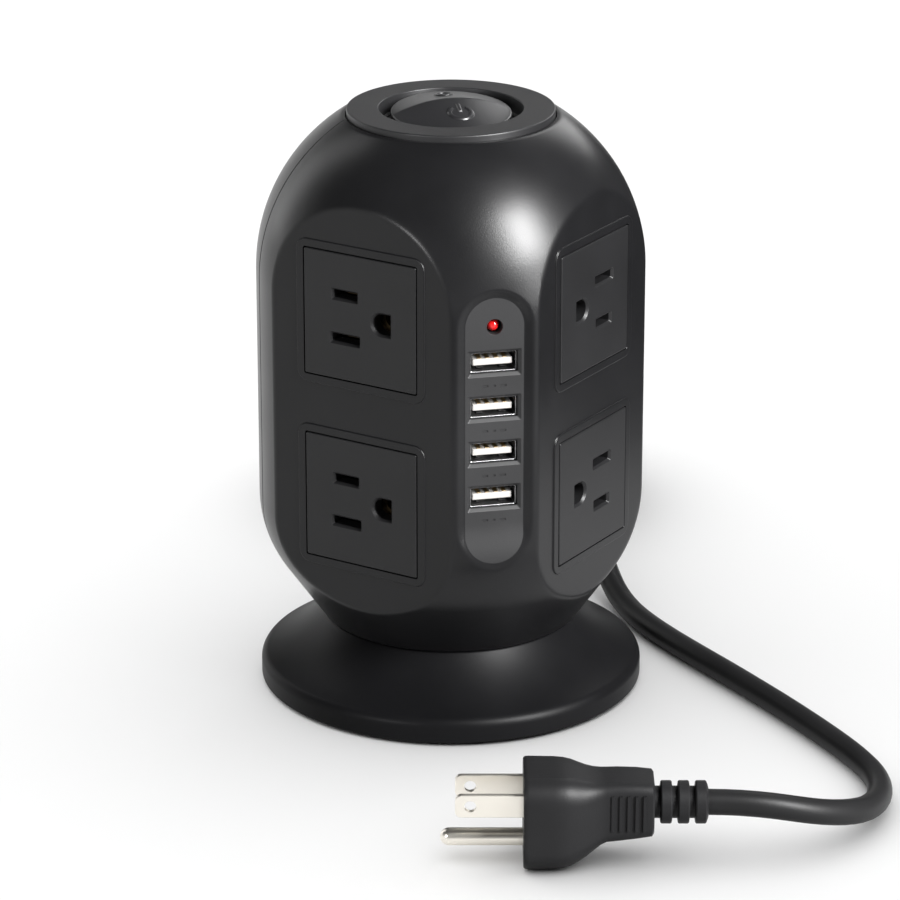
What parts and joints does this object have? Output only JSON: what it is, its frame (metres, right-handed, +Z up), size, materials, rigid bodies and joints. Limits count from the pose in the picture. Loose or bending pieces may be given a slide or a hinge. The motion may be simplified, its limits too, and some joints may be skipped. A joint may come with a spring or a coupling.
{
  "type": "tower power strip",
  "caption": "Upright tower power strip with grounded outlets on flat faces, a USB column, a top rocker switch, a flared round foot and a coiled mains cord with plug.",
  "frame": {"origin": "on the floor, under the tower's axis", "axes": "+Z up along the tower's axis, -Y towards the USB column, +X to the right when the USB column faces the viewer; the shells part on the plane Y = 0"},
  "size_m": [0.1538, 0.341, 0.1736],
  "materials": {
    "shell_plastic": "black satin moulded plastic",
    "cap_plastic": "dark grey satin moulded plastic",
    "rocker_plastic": "smooth dark grey plastic",
    "outlet_plastic": "dark grey satin moulded plastic",
    "inner_plastic": "plain black plastic",
    "white_plastic": "white nylon",
    "brass": "stamped",
    "usb_steel": "tin-plated",
    "spring_steel": "drawn wire",
    "circuit_board": "green solder mask",
    "winding_tape": "yellow tape",
    "capacitor_sleeve": "dark sleeve",
    "red_lens": "diffused red resin",
    "foot_rubber": "matte",
    "screw_steel": "zinc-plated",
    "black_wire": "vinyl insulation",
    "white_wire": "vinyl insulation",
    "green_wire": "vinyl insulation",
    "cord_vinyl": "black vinyl jacket",
    "blade_metal": "nickel-plated brass"
  },
  "bodies": {
    "tower": {"front_shell": "shell_plastic", "rear_shell": "shell_plastic", "top_cap": "cap_plastic", "switch_housing": "inner_plastic", "switch_terminals": "brass", "front_left_upper_plate": "outlet_plastic", "front_left_lower_plate": "outlet_plastic", "front_right_upper_plate": "outlet_plastic", "front_right_lower_plate": "outlet_plastic", "rear_right_upper_plate": "outlet_plastic", "rear_right_lower_plate": "outlet_plastic", "rear_left_upper_plate": "outlet_plastic", "rear_left_lower_plate": "outlet_plastic", "front_left_line_bar": "brass", "front_left_neutral_bar": "brass", "front_left_ground_bar": "brass", "front_right_line_bar": "brass", "front_right_neutral_bar": "brass", "front_right_ground_bar": "brass", "rear_right_line_bar": "brass", "rear_right_neutral_bar": "brass", "rear_right_ground_bar": "brass", "rear_left_line_bar": "brass", "rear_left_neutral_bar": "brass", "rear_left_ground_bar": "brass", "usb_shell_1": "usb_steel", "usb_shell_2": "usb_steel", "usb_shell_3": "usb_steel", "usb_shell_4": "usb_steel", "usb_tongue_1": "white_plastic", "usb_tongue_2": "white_plastic", "usb_tongue_3": "white_plastic", "usb_tongue_4": "white_plastic", "usb_board": "circuit_board", "charger_board": "circuit_board", "transformer": "winding_tape", "capacitors": "capacitor_sleeve", "power_led": "red_lens", "base_cover": "shell_plastic", "base_plate": "inner_plastic", "rubber_feet": "foot_rubber", "base_screws": "screw_steel", "neck_screws": "screw_steel", "shell_screws": "screw_steel", "line_lead": "black_wire", "line_harness": "black_wire", "neutral_harness": "white_wire", "ground_harness": "green_wire", "cord_strain_relief": "cord_vinyl", "cord_tail": "cord_vinyl", "cord_coil": "cord_vinyl", "cord_tie": "cord_vinyl", "cord_lead": "cord_vinyl", "plug_body": "cord_vinyl", "plug_blades": "blade_metal", "plug_ground_pin": "blade_metal"},
    "rocker": {"rocker_button": "rocker_plastic", "rocker_plunger": "white_plastic", "rocker_spring": "spring_steel"},
    "contact_arm": {"switch_contact_arm": "brass"}
  },
  "joints": [
    {"name": "rocker_hinge", "type": "hinge", "parent": "tower", "child": "rocker", "pos_m": [0, 0, 0.1626], "axis": [-1, 0, 0], "range_deg": [0, 8]},
    {"name": "contact_arm_hinge", "type": "hinge", "parent": "tower", "child": "contact_arm", "pos_m": [0, 0, 0.151], "axis": [1, 0, 0], "range_deg": [0, 12]}
  ],
  "couplings": [
    {"joint": "contact_arm_hinge", "follows": "rocker_hinge", "ratio": 1.5}
  ]
}
